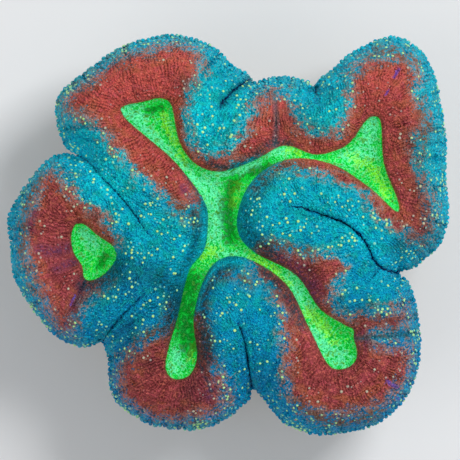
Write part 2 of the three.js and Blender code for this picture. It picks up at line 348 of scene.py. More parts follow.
def path_distance(x, y, path, closed=True):
    """Rows: distance to the path, share of its length where it is nearest, and the way there in x and y.

    The nearest point of each straight stretch is its foot of the perpendicular, kept between its ends.
    """
    ends = np.roll(path, -1, axis=0) if closed else path[1:]
    starts = path if closed else path[:-1]
    step = ends - starts
    length = np.hypot(*step.T)
    before = np.concatenate(([0], np.cumsum(length)[:-1]))

    def measure(px, py):
        rx, ry = px[:, None] - starts[:, 0], py[:, None] - starts[:, 1]
        share = np.clip((rx * step[:, 0] + ry * step[:, 1]) / length**2, 0, 1)
        to_x, to_y = share * step[:, 0] - rx, share * step[:, 1] - ry
        gap = np.hypot(to_x, to_y)
        best = (np.arange(len(px)), gap.argmin(axis=1))
        along = (before[best[1]] + share[best] * length[best[1]]) / length.sum()
        return np.stack((gap[best], along, to_x[best], to_y[best]))

    return in_chunks(measure, x, y)


def is_inside(x, y, path):
    """Even-odd rule: whether a ray along +X from each point crosses the path an odd number of times."""
    ax, ay = path.T
    bx, by = np.roll(path, -1, axis=0).T

    def measure(px, py):
        spans = (ay > py[:, None]) != (by > py[:, None])
        reach = ax + (py[:, None] - ay) / np.where(by == ay, 1, by - ay) * (bx - ax)
        return (spans & (px[:, None] < reach)).sum(axis=1)[None] % 2

    return in_chunks(measure, x, y)[0] == 1


def signed_distance(x, y, paths):
    """Distance to the nearest of the closed paths, negative inside one."""
    signed = [path_distance(x, y, path)[0] * np.where(is_inside(x, y, path), -1, 1) for path in paths]
    return np.min(signed, axis=0)


def ease(value, low, high):
    """0 below low, 1 above high, and a smooth cubic step between."""
    t = np.clip((value - low) / (high - low), 0, 1)
    return t * t * (3 - 2 * t)


def arch(distance, width):
    """A quarter ellipse: 0 at distance 0, upright there, and level at 1 from distance width on."""
    share = 1 - np.clip(distance / width, 0, 1)
    return np.sqrt(1 - share**2)


class Raster:
    """A square grid of values over the coral, seen from above, read between its points."""

    MARGIN = 3  # how far the grid runs past the outline

    def __init__(self, outline, cell):
        self.cell = cell
        self.low = outline.min(axis=0) - self.MARGIN
        columns, rows = (np.ceil((outline.max(axis=0) + self.MARGIN - self.low) / cell) + 1).astype(int)
        self.shape = (rows, columns)
        axes = (low + cell * np.arange(count) for low, count in zip(self.low, (columns, rows)))
        self.x, self.y = (part.ravel() for part in np.meshgrid(*axes))

    def read(self, values, x, y):
        """Bilinear: the four grid values round each point, weighted by how near they are."""
        column = np.clip((x - self.low[0]) / self.cell, 0, self.shape[1] - 1.001)
        row = np.clip((y - self.low[1]) / self.cell, 0, self.shape[0] - 1.001)
        c, r = column.astype(int), row.astype(int)
        u, v = column - c, row - r
        top = values[r + 1, c] * (1 - u) + values[r + 1, c + 1] * u
        return (values[r, c] * (1 - u) + values[r, c + 1] * u) * (1 - v) + top * v

    def noise(self, size, seed):
        """White noise kept to bumps of about one size: the band is a Gaussian ring in the frequency plane."""
        white = np.random.default_rng(seed).standard_normal(self.shape)
        fy = np.fft.fftfreq(self.shape[0], self.cell)[:, None]
        fx = np.fft.rfftfreq(self.shape[1], self.cell)[None]
        band = np.exp(-(((np.hypot(fx, fy) * size - 1) / 0.35) ** 2))
        bumps = np.fft.irfft2(np.fft.rfft2(white) * band, self.shape)
        return bumps / bumps.std()


ROUNDS = 900  # times that the averaging below is repeated
LEAK = 1e-4  # share that still gets through a cleft, so that no cell is cut off


def spread_potential(raster, valley, rim, cleft):
    """0 on the valley floors and 1 past the outline, and between them the steady spread of heat.

    Laplace's equation by repeated averaging of neighbours. Nothing flows through a cleft, so the lines of
    flow leave the valley square on, run along the clefts and end square on the outline.
    """
    open_cell = (cleft > 0.7 * raster.cell).reshape(raster.shape).astype(float)
    floor = (valley < 0).reshape(raster.shape)
    outside = (rim < 0).reshape(raster.shape)
    along_x = np.pad(np.minimum(open_cell[:, 1:], open_cell[:, :-1]) + LEAK, ((0, 0), (1, 1)))
    along_y = np.pad(np.minimum(open_cell[1:], open_cell[:-1]) + LEAK, ((1, 1), (0, 0)))
    total = along_x[:, 1:] + along_x[:, :-1] + along_y[1:] + along_y[:-1]
    share = valley / (np.abs(valley) + np.abs(rim) + 1e-6)
    potential = np.clip(share, 0, 1).reshape(raster.shape)
    for _ in range(ROUNDS):
        wide = np.pad(potential, 1, mode="edge")
        potential = (
            along_x[:, 1:] * wide[1:-1, 2:] + along_x[:, :-1] * wide[1:-1, :-2]
            + along_y[1:] * wide[2:, 1:-1] + along_y[:-1] * wide[:-2, 1:-1]
        ) / total
        potential[floor] = 0
        potential[outside] = 1
    return potential


def brush_along(raster, noise, flow_x, flow_y, reach, stride):
    """Noise drawn out into fibres: its average along the line of flow through each point, both ways."""
    total = np.zeros(raster.x.shape)
    weights = 0
    for way in (1, -1):
        x, y = raster.x.copy(), raster.y.copy()
        for step in range(int(reach / stride)):
            weight = 1 - step * stride / reach
            total += weight * raster.read(noise, x, y)
            weights += weight
            step_x, step_y = raster.read(flow_x, x, y), raster.read(flow_y, x, y)
            speed = np.hypot(step_x, step_y) + 1e-9
            x = x + way * stride * step_x / speed
            y = y + way * stride * step_y / speed
    brushed = (total / weights).reshape(raster.shape)
    return brushed / brushed.std()


class Form:
    """The flesh as a height over the ground, with the distances that its relief and colours follow.

    Everything here is in the curves' millimetres.
    """

    made = {}  # forms worked out so far, by their sizes
    CELL = 0.25  # grid of the fine relief
    COARSE_CELL = 0.5  # grid that the lines of flow are worked out on
    BANK_SHARE, LEAST_BANK = 0.62, 3.2  # a bank's share of the flesh beside it, and its least breadth
    CLEFT_SHOULDERS = ((0.16, 0.5), (0.1, 5))  # shares of a cleft's depth, and how broad each one is
    FURROW_SHOULDER = 1.8  # breadth of a furrow's shoulder
    CLOSING, CLOSED = 0.88, 0.3  # where along a cleft its gape closes, and how far under nothing it ends

    def __init__(self, shape):
        self.shape = shape
        self.outline = inset_path(smooth_path(OUTLINE, True), shape.bead_room)
        self.valleys = [smooth_path(points, True) for points in VALLEYS]
        self.clefts, self.furrows = (
            [(depth, gape, smooth_path(points, False)) for depth, gape, points in strokes]
            for strokes in (CLEFTS, FURROWS)
        )
        self.reds = [smooth_path(points, True) for points in RED_BANDS]
        self.tints = {
            name: [(breadth, smooth_path(points, False)) for breadth, points in strokes]
            for name, strokes in (*TINTS.items(), ("violet", VIOLET_MARKS))
        }
        self.raster = Raster(self.outline, self.CELL)
        self.draw_flow()
        self.draw_relief()

    @classmethod
    def of(cls, shape):
        """The form for these sizes, worked out once and kept."""
        sizes = tuple(getattr(shape, name) for name in CoralShape.__annotations__)
        if sizes not in cls.made:
            cls.made[sizes] = cls(shape)
        return cls.made[sizes]

    def draw_flow(self):
        """Lines of flow on the fine grid: from the valleys to the outline, and along each valley floor."""
        coarse = Raster(self.outline, self.COARSE_CELL)
        valley = signed_distance(coarse.x, coarse.y, self.valleys)
        rim = -signed_distance(coarse.x, coarse.y, [self.outline])
        cleft = self.nearest(coarse.x, coarse.y, self.clefts)[0]
        potential = spread_potential(coarse, valley, rim, cleft)
        slope_y, slope_x = np.gradient(potential, coarse.cell)
        across_y, across_x = np.gradient(valley.reshape(coarse.shape), coarse.cell)
        floor = (valley < 0).reshape(coarse.shape)
        slope_x, slope_y = np.where(floor, -across_y, slope_x), np.where(floor, across_x, slope_y)
        fine = self.raster
        self.potential = coarse.read(potential, fine.x, fine.y).reshape(fine.shape)
        self.flow = [coarse.read(slope, fine.x, fine.y).reshape(fine.shape) for slope in (slope_x, slope_y)]

    def draw_relief(self):
        """Fine relief on the grid: fibres and flutes along the flow, grains, and broad lumps."""
        raster = self.raster
        fibres, flutes = raster.noise(0.85, seed=11), raster.noise(2.6, seed=12)
        self.fibres = brush_along(raster, fibres, *self.flow, reach=3, stride=0.25)
        self.flutes = brush_along(raster, flutes, *self.flow, reach=8, stride=0.5)
        self.grain = raster.noise(1.1, seed=13)
        self.lumps = raster.noise(12, seed=14)
        ground = self.height(raster.x, raster.y).reshape(raster.shape)
        slope_y, slope_x = np.gradient(ground, raster.cell)
        self.slope = (slope_x, slope_y)

    def nearest(self, x, y, strokes):
        """Rows: distance to the nearest stroke, half its gape there, and the way to it along x and y.

        The gape swells in the stroke's first half and narrows to less than nothing at its end.
        """
        rows = []
        for _, gape, path in strokes:
            distance, along, to_x, to_y = path_distance(x, y, path, closed=False)
            swell = gape * np.sin(np.pi * (0.25 + 0.75 * along))
            half = swell - self.CLOSED * ease(along, self.CLOSING, 1)
            rows.append(np.stack((distance, half, to_x, to_y)))
        rows = np.array(rows)
        return rows[rows[:, 0].argmin(axis=0), :, np.arange(len(x))].T

    def groove(self, x, y, strokes, width):
        """Depth of the deepest groove at each point: rounded shoulders to its gape, and a fading end."""
        depth = np.zeros(len(x))
        for full, gape, path in strokes:
            distance, along = path_distance(x, y, path, closed=False)[:2]
            shoulder = arch(np.maximum(distance - gape, 0), width)
            depth = np.maximum(depth, full * (1 - shoulder) * ease(1 - along, 0, 0.4))
        return depth

    def height(self, x, y):
        """Crest, less what the rolled edge, the clefts, the furrows and the valleys take from it."""
        shape = self.shape
        rim = np.maximum(-signed_distance(x, y, [self.outline]), 0)
        valley = signed_distance(x, y, self.valleys)
        cleft = self.nearest(x, y, self.clefts)[0]
        roll = shape.rim_drop * (1 - arch(rim, shape.rim_width))
        beside = np.maximum(valley, 0) + np.minimum(rim, cleft)
        bank = np.clip(self.BANK_SHARE * beside, self.LEAST_BANK, shape.bank_width)
        rise = np.sin(np.pi / 2 * np.clip(valley / bank, 0, 1))
        lip = shape.lip_height * ease(valley, -0.2, 0.5)
        dish = shape.valley_dish * (1 - np.exp(np.minimum(valley, 0) / 2))
        sunk = (shape.valley_depth - shape.lip_height) * (1 - rise) + shape.lip_height - lip + dish
        grooves = self.groove(x, y, self.furrows, self.FURROW_SHOULDER)
        for share, breadth in self.CLEFT_SHOULDERS:
            grooves += share * self.groove(x, y, self.clefts, breadth)
        lumps = shape.lump_height * self.raster.read(self.lumps, x, y) * ease(valley, 0, 6)
        return CREST - shape.proud - roll - grooves - sunk + lumps

    def normal(self, x, y):
        """Unit normals of the flesh, from the slope of its height."""
        slope_x, slope_y = (self.raster.read(slope, x, y) for slope in self.slope)
        normal = np.stack((-slope_x, -slope_y, np.ones(len(x))), axis=1)
        return normal / np.linalg.norm(normal, axis=1)[:, None]

    def detail(self, x, y, masks):
        """How far the fine relief stands out from the flesh."""
        read = self.raster.read
        edge = ease(masks["potential"], 0.55, 0.95)
        flesh = ease(masks["valley"], 0, 0.8)
        fibre = 0.07 + flesh * (0.02 + 0.07 * ease(masks["red"], -1, 1))
        return (
            fibre * read(self.fibres, x, y)
            + flesh * (0.1 + 0.14 * edge) * read(self.flutes, x, y)
            + (0.02 + flesh * 0.05) * read(self.grain, x, y)
        )

    def masks(self, x, y):
        """What the colours follow, at each point of the flesh."""
        read = self.raster.read
        tints = {name: self.tint(x, y, strokes) for name, strokes in self.tints.items()}
        along_x, along_y = (read(part, x, y) for part in self.flow)
        across = np.stack((-along_y, along_x, np.zeros(len(x))), axis=1)
        cleft, gape, to_x, to_y = self.nearest(x, y, self.clefts)
        return {
            "valley": signed_distance(x, y, self.valleys),
            "red": -signed_distance(x, y, self.reds),
            "rim": -signed_distance(x, y, [self.outline]),
            "cleft": cleft,
            "gape": gape,
            "to_cleft": np.stack((to_x, to_y, np.zeros(len(x))), axis=1),
            "furrow": self.nearest(x, y, self.furrows[:2])[0],
            "potential": read(self.potential, x, y),
            "fibres": read(self.fibres, x, y),
            "flutes": read(self.flutes, x, y),
            "across": across / (np.linalg.norm(across, axis=1)[:, None] + 1e-9),
            **tints,
        }

    def tint(self, x, y, strokes):
        """1 along the middle of any of the strokes, and a bell curve to 0 to each side."""
        gaps = [path_distance(x, y, path, closed=False)[0] / breadth for breadth, path in strokes]
        return np.exp(-(np.min(gaps, axis=0) ** 2))


def ring_positions(outline, turn):
    """Points on the outline at each turn from 0 to 1.

    Turn advances with the swing round the middle plus a quarter of the length, so that the walls of the
    notches, which run straight outwards, get few points and the round lobes many.
    """
    step = np.roll(outline, -1, axis=0) - outline
    swing = np.abs(outline[:, 0] * step[:, 1] - outline[:, 1] * step[:, 0]) / np.hypot(*outline.T)
    table = np.concatenate(([0], np.cumsum(swing + 0.25 * np.hypot(*step.T))))
    table /= table[-1]
    around = np.vstack((outline, outline[:1]))
    return np.stack([np.interp(turn, table, column) for column in around.T], axis=1)


def disc_grid(count):
    """A square grid of count x count cells on a disc: reach and turn of each point, and the quads.

    The square's concentric squares become rings: reach is the ring, and turn the way round its side.
    """
    axis = np.linspace(-1, 1, count + 1)
    u, v = (part.ravel() for part in np.meshgrid(axis, axis))
    reach = np.maximum(np.abs(u), np.abs(v))
    safe = np.where(reach > 0, reach, 1)
    a, b = u / safe, v / safe
    turn = np.select([a >= 1, b >= 1, a <= -1], [b, 2 - a, 4 - b], 6 + a) / 8 % 1
    index = np.arange(len(u)).reshape(count + 1, count + 1)
    corners = (index[:-1, :-1], index[:-1, 1:], index[1:, 1:], index[1:, :-1])
    return reach, turn, np.stack([corner.ravel() for corner in corners], axis=1)


def wall_quads(first, rows, around):
    """Quads between rings of points, from the top ring down, facing outwards. first is the top ring."""
    rings = np.vstack((first, rows.reshape(-1, around)))
    top, below = rings[:-1], rings[1:]
    corners = (below, np.roll(below, -1, axis=1), np.roll(top, -1, axis=1), top)
    return np.stack([corner.ravel() for corner in corners], axis=1)


def add_piece(name, points, faces, masks):
    """A smooth-shaded mesh object at the origin from points in the curves' millimetres, with its masks."""
    mesh = bpy.data.meshes.new(name)
    mesh.from_pydata(points * UNIT + np.array((0, 0, LOW.z)), [], faces)
    for label, values in masks.items():
        kind, field = ("FLOAT", "value") if values.ndim == 1 else ("FLOAT_VECTOR", "vector")
        attribute = mesh.attributes.new(label, kind, "POINT")
        attribute.data.foreach_set(field, np.ascontiguousarray(values, np.float32).ravel())
    mesh.shade_smooth()
    mesh.validate()
    piece = bpy.data.objects.new(name, mesh)
    bpy.context.scene.collection.objects.link(piece)
    return piece


# Underside of the rolled edge, from the outline to where it meets the skeleton: share of reach, height
LIP_PROFILE = (
    (1, 23), (0.996, 20.8), (0.98, 18.4), (0.952, 16.3), (0.918, 15.2), (0.885, 15.5), (0.87, 17.2),
)

# Waves of the lip up and down: size, number round the coral, lead
FRILL = ((0.9, 9, 0), (0.6, 23, 2), (0.35, 61, 0))


def flesh_surface(form, count, lip_steps):
    """The flesh as a closed grid: the lobes' top over a disc, the rolled edge round it, and a hidden floor.

    On top, the height is the form's, and the fine relief stands out along the normal. Below the outline,
    rings follow the lip's profile, which rises and falls as a frill, and the relief at the outline runs
    on down them as ribs.
    """
    ring, turn, quads = disc_grid(count)
    reach = 0.5 * ring + 0.5 * np.sin(np.pi / 2 * ring)
    x, y = (reach[:, None] * ring_positions(form.outline, turn)).T
    masks = form.masks(x, y)
    relief = form.detail(x, y, masks)
    points = np.stack((x, y, form.height(x, y)), axis=1) + relief[:, None] * form.normal(x, y)

    edge = np.flatnonzero(ring == 1)
    edge = edge[np.argsort(turn[edge])]
    tangent = np.roll(points[edge, :2], -3, axis=0) - np.roll(points[edge, :2], 3, axis=0)
    outward = np.stack((tangent[:, 1], -tangent[:, 0]), axis=1)
    outward /= np.hypot(*outward.T)[:, None]
    profile = smooth_path(LIP_PROFILE, False, lip_steps)[1:]
    share, z = profile[:, :1, None], profile[:, 1]
    down = np.arange(len(profile)) / len(profile)
    fade, settle = 1 - ease(down, 0.5, 1), 1 - ease(down, 0, 0.6)
    sag = ease(down, 0.1, 0.7) - ease(down, 0.8, 1)
    start = np.stack((x[edge], y[edge]), axis=1)
    sides = share * start + (fade[:, None] * relief[edge])[..., None] * outward
    rims = form.height(x[edge], y[edge])
    swing = np.arctan2(y[edge], x[edge])
    frill = sum(size * np.sin(waves * swing + lead) for size, waves, lead in FRILL)
    levels = z[:, None] + (rims - LIP_PROFILE[0][1]) * settle[:, None] + frill * sag[:, None]
    walls = np.concatenate((sides, levels[..., None]), axis=2)

    first = len(points)
    rows = first + np.arange(walls.shape[0] * len(edge))
    faces = np.vstack((quads, wall_quads(edge, rows, len(edge))))
    last = rows[-len(edge) :]
    middle = first + len(rows)
    fan = np.stack((np.full(len(edge), middle), np.roll(last, -1), last), axis=1)
    points = np.vstack((points, walls.reshape(-1, 3), (0, 0, LIP_PROFILE[-1][1])))

    past = np.linspace(0, 10, len(profile))
    grown = {"rim": -past, "red": -past, "potential": 0.05 * past}
    for label, values in masks.items():
        beyond = np.tile(values[edge], (len(profile),) + (1,) * (values.ndim - 1))
        if label in grown:
            beyond = beyond + np.repeat(grown[label], len(edge))
        masks[label] = np.concatenate((values, beyond, beyond[-1:]))
    return points, faces.tolist() + fan.tolist(), masks


# ------------------------------------------------------------------------------------------ beads
def bead_template(around=7):
    """A closed bead of four triangles for each point around: a top, two rings and a bottom.

    The rings lie on a sphere of radius 1, whose bottom is cut a little short.
    """
    angle = 2 * np.pi * np.arange(around) / around
    rings = [
        np.stack((spread * np.cos(angle), spread * np.sin(angle), np.full(around, level)), axis=1)
        for spread, level in ((0.75, 0.66), (0.97, -0.1))
    ]
    points = np.vstack(((0, 0, 1), rings[0], rings[1], (0, 0, -0.8)))
    here, after = np.arange(around), np.roll(np.arange(around), -1)
    upper, lower, last = 1 + here, 1 + around + here, 1 + 2 * around
    faces = np.vstack((
        np.stack((np.zeros(around, int), upper, 1 + after), axis=1),
        np.stack((upper, lower, 1 + around + after), axis=1),
        np.stack((upper, 1 + around + after, 1 + after), axis=1),
        np.stack((lower, np.full(around, last), 1 + around + after), axis=1),
    ))
    return points, faces


def add_beads(name, form, centres, normals, radius, height, tone, look):
    """All beads of a piece in one mesh: the template turned to each normal, sized and moved to its centre.

    Each bead takes the masks of the flesh under it. Its tone fades from its top to its foot.
    """
    unit, faces = bead_template()
    side = np.cross(normals, (0.31, 0.95, 0.02))
    side /= np.linalg.norm(side, axis=1)[:, None]
    frame_axes = np.stack((side, np.cross(normals, side), normals), axis=1)
    sizes = np.stack((radius, radius, height), axis=1)
    points = centres[:, None] + np.einsum("vk,nk,nkc->nvc", unit, sizes, frame_axes)
    stacked = faces[None] + len(unit) * np.arange(len(centres))[:, None, None]
    masks = form.masks(centres[:, 0], centres[:, 1])
    masks = {label: np.repeat(values, len(unit), axis=0) for label, values in masks.items()}
    masks["tone"] = (tone[:, None] * ease(unit[:, 2], -0.7, 0.9)[None]).ravel()
    piece = add_piece(name, points.reshape(-1, 3), stacked.reshape(-1, 3), masks)
    piece.data.materials.append(look)
    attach(piece, "root")
    return piece


def scatter(outline, pitch, seed):
    """Points over the coral on a staggered lattice, each moved at random by about a third of the pitch."""
    random = np.random.default_rng(seed)
    low, high = outline.min(axis=0), outline.max(axis=0)
    columns = np.arange(low[0], high[0], pitch)
    rows = np.arange(low[1], high[1], pitch * 0.87)
    x, y = np.meshgrid(columns, rows)
    x = x + pitch / 2 * (np.arange(len(rows)) % 2)[:, None]
    jitter = random.uniform(-0.36, 0.36, (2, x.size)) * pitch
    return x.ravel() + jitter[0], y.ravel() + jitter[1], random


MARGIN_ROWS = range(-5, 12)  # rows of beads over the edge, counted upwards from the outline's own
ROW_STEP = 0.9  # pitches from a row to the next one up
ROW_SHIFT, ROW_SWAY = 0.18, 0.9  # pitches that a row is out of line at most, and how fast that changes
ROW_FALL, ROW_TUCK, ROW_TURN = 1.05, 0.012, 0.14  # each lower row: down by, in by a share, turned down by


def margin_rows(form, shape, pitch):
    """Places on the rolled edge for rows of beads: centres, normals, and the row of each.

    A row above the outline is a step up the quarter ellipse that the edge rolls over, inset from the
    outline along its normal. A row below it is a step down the lip's profile. The beads of all the rows
    stand in line, one above another, as ridges over the edge.
    """
    outline = form.outline
    length = np.hypot(*(np.roll(outline, -1, axis=0) - outline).T)
    ahead = np.concatenate(([0], np.cumsum(length)))
    count = int(ahead[-1] / pitch)
    centres, normals, rows = [], [], []
    for row in MARGIN_ROWS:
        place = (np.arange(count) + ROW_SHIFT * np.sin(ROW_SWAY * row)) * ahead[-1] / count
        closed = np.vstack((outline, outline[:1]))
        x, y = (np.interp(place, ahead, column) for column in closed.T)
        next_x, next_y = (np.interp((place + 0.6) % ahead[-1], ahead, column) for column in closed.T)
        out = np.stack((next_y - y, x - next_x), axis=1)
        out /= np.hypot(*out.T)[:, None]
        if row >= 0:
            angle = row * pitch * ROW_STEP / shape.rim_drop
            inset = shape.rim_width * (1 - np.cos(angle)) + 0.06
            x, y = x - inset * out[:, 0], y - inset * out[:, 1]
            z = form.height(x, y)
            tilt = np.array((np.cos(angle) / shape.rim_width, np.sin(angle) / shape.rim_drop))
        else:
            share = 1 + ROW_TUCK * row
            x, y, z = x * share, y * share, np.full(count, LIP_PROFILE[0][1] + ROW_FALL * row)
            tilt = np.array((1, ROW_TURN * row))
        tilt = tilt / np.hypot(*tilt)
        centres.append(np.stack((x, y, z), axis=1))
        normals.append(np.hstack((out * tilt[0], np.full((count, 1), tilt[1]))))
        rows.append(np.full(count, row))
    return np.vstack(centres), np.vstack(normals), np.concatenate(rows)


# ------------------------------------------------------------------------------------------ skeleton
RIBS = 55  # waves of the foot's main ribs, two ribs to a wave, and there are twice as many fine ones

# Bare foot, from inside the flesh down to the cut: share of reach, height
SKELETON_PROFILE = (
    (0.9, 18), (0.86, 15.6), (0.79, 12.6), (0.7, 9.3), (0.58, 5.5), (0.5, 2.6), (0.445, 0.25), (0.44, 0),
)


def skeleton_surface(form, around, steps):
    """The stony foot: the outline drawn in along a profile, with ribs down it, closed by a lid and the cut.

    Two sets of ribs, the finer of which dies away downwards, stand out from the wall as rounded waves.
    """
    profile = smooth_path(SKELETON_PROFILE, False, steps)
    share, z = profile[:, :1], profile[:, 1]
    turn = np.arange(around) / around
    start = ring_positions(form.outline, turn)
    ahead = np.roll(start, -2, axis=0) - np.roll(start, 2, axis=0)
    out = np.stack((ahead[:, 1], -ahead[:, 0]), axis=1)
    out /= np.hypot(*out.T)[:, None] + 1e-9
    length = np.concatenate(([0], np.cumsum(np.hypot(*(np.roll(start, -1, axis=0) - start).T))))
    swing = 2 * np.pi * length[:-1] / length[-1]
    wobble = 0.25 * np.sin(7 * swing) + 0.2 * np.sin(17 * swing + 1) + 0.05 * z[:, None] * np.sin(5 * swing)
    main = np.abs(np.cos(RIBS * swing + wobble))
    fine = np.abs(np.cos(2 * (RIBS * swing + wobble)))
    ribs = 0.55 * (main**0.7 - 0.5) + 0.3 * (fine - 0.5) * ease(z, 2, 9)[:, None]
    ledges = 0.12 * np.sin(z[:, None] * 2.1 + 3 * np.sin(9 * swing))
    relief = (ribs + ledges) * ease(z, 0, 0.8)[:, None] * ease(SKELETON_PROFILE[0][1] - z, 0, 1.5)[:, None]
    walls = share[..., None] * start + relief[..., None] * out
    levels = np.broadcast_to(z[:, None, None], (*relief.shape, 1))
    points = np.concatenate((walls, levels), axis=2).reshape(-1, 3)
    rows = np.arange(len(points))
    sides = wall_quads(rows[:around], rows[around:], around)
    lid, cut = len(points), len(points) + 1
    top, bottom = rows[:around], rows[-around:]
    lids = np.stack((np.full(around, lid), top, np.roll(top, -1)), axis=1)
    cuts = np.stack((np.full(around, cut), np.roll(bottom, -1), bottom), axis=1)
    points = np.vstack((points, (0, 0, SKELETON_PROFILE[0][1]), (0, 0, 0)))
    ridge = np.concatenate((ribs.ravel(), (0, 0)))
    return points, sides.tolist() + lids.tolist() + cuts.tolist(), {"ridge": ridge}


# ------------------------------------------------------------------------------------------ shader maths
class Socket:
    """An output socket. Arithmetic on a number's socket adds Math nodes to its material."""

    def __init__(self, shader, socket):
        self.shader, self.socket = shader, socket

    def math(self, operation, first, second):
        """A Math node on two numbers or sockets."""
        return self.shader.add("ShaderNodeMath", {"operation": operation}, {0: first, 1: second})

    def __add__(self, other):
        return self.math("ADD", self, other)

    def __sub__(self, other):
        return self.math("SUBTRACT", self, other)

    def __rsub__(self, other):
        return self.math("SUBTRACT", other, self)

    def __mul__(self, other):
        return self.math("MULTIPLY", self, other)

    def __abs__(self):
        return self.math("ABSOLUTE", self, 0)

    __radd__ = __add__
    __rmul__ = __mul__


class Shader:
    """A material's node tree, in the curves' millimetres."""

    def __init__(self, name):
        self.material = bpy.data.materials.new(name)
        self.material.use_nodes = True
        self.tree = self.material.node_tree
        self.tree.nodes.clear()
        place = self.add("ShaderNodeTexCoord", {}, {}, "Object")
        self.place = self.add("ShaderNodeVectorMath", {"operation": "SCALE"}, {0: place, "Scale": 1 / UNIT})

    def add(self, kind, settings, sockets, output=0):
        """Any node: its settings first, then its sockets' values or links. Gives back one of its outputs."""
        node = self.tree.nodes.new(kind)
        for name, value in settings.items():
            setattr(node, name, value)
        for key, value in sockets.items():
            if isinstance(value, Socket):
                self.tree.links.new(value.socket, node.inputs[key])
            else:
                node.inputs[key].default_value = value
        return Socket(self, node.outputs[output]) if len(node.outputs) else node

    def read(self, name, output="Fac"):
        """One of the mesh's own attributes."""
        return self.add("ShaderNodeAttribute", {"attribute_name": name}, {}, output)

    def vector(self, operation, *inputs, output=0):
        """Vector arithmetic."""
        return self.add("ShaderNodeVectorMath", {"operation": operation}, dict(enumerate(inputs)), output)

    def noise(self, size, detail=2.0):
        """Cloudy noise with bumps of about one size, from 0 to 1."""
        return self.add("ShaderNodeTexNoise", {}, {"Vector": self.place, "Scale": 1 / size, "Detail": detail})

    def sway(self, size, reach):
        """A cloudy vector with bumps of about one size, its parts seldom past a quarter of reach."""
        cloud = self.add("ShaderNodeTexNoise", {}, {"Vector": self.place, "Scale": 1 / size}, "Color")
        return self.vector("MULTIPLY", self.vector("SUBTRACT", cloud, (0.5, 0.5, 0.5)), (reach, reach, reach))

    def stripes(self, place, wave, cell, waves):
        """Ragged stripes square to wave, so many waves to a cell. Most of their values are 0.5 +- 0.1."""
        sockets = {"Vector": place, "Scale": 1 / cell, "Frequency": waves, "Anisotropy": 1.0, 5: wave}
        return self.add("ShaderNodeTexGabor", {"gabor_type": "3D"}, sockets)

    def step(self, value, low, high):
        """0 at low, 1 at high, smooth between. high may be the smaller one."""
        turned = low > high
        span = {"Value": value, 1: min(low, high), 2: max(low, high), 3: float(turned), 4: float(not turned)}
        return self.add("ShaderNodeMapRange", {"interpolation_type": "SMOOTHSTEP"}, span)

    def mix(self, share, first, second):
        """Two colours mixed: all first at 0, all second at 1."""
        colours = {0: share, 6: colour(first), 7: colour(second)}
        return self.add("ShaderNodeMix", {"data_type": "RGBA"}, colours, 2)

    def layers(self, tint, *layers):
        """Colours laid over tint in turn: each a value, the limits it steps between, a share, a colour."""
        for value, low, high, share, over in layers:
            tint = self.mix(self.step(value, low, high) * share, tint, over)
        return tint

    def bump(self, height):
        """Normals for a relief in the curves' millimetres."""
        return self.add("ShaderNodeBump", {}, {"Strength": 1.0, "Distance": UNIT, "Height": height})

    def surface(self, **sockets):
        """The Principled shader and the output. Underscores in the names stand for spaces."""
        named = {name.replace("_", " "): value for name, value in sockets.items()}
        shaded = self.add("ShaderNodeBsdfPrincipled", {}, named)
        self.add("ShaderNodeOutputMaterial", {}, {"Surface": shaded})
        return self.material


def colour(value):
    """A colour for a socket: a link as it is, and three numbers with full alpha."""
    return value if isinstance(value, Socket) else (*value[:3], 1.0)


def srgb(red, green, blue):
    """Linear colour of display values from 0 to 255, by the display's standard curve."""
    shares = np.array((red, green, blue)) / 255
    linear = np.where(shares <= 0.04045, shares / 12.92, ((shares + 0.055) / 1.055) ** 2.4)
    return tuple(float(share) for share in linear)


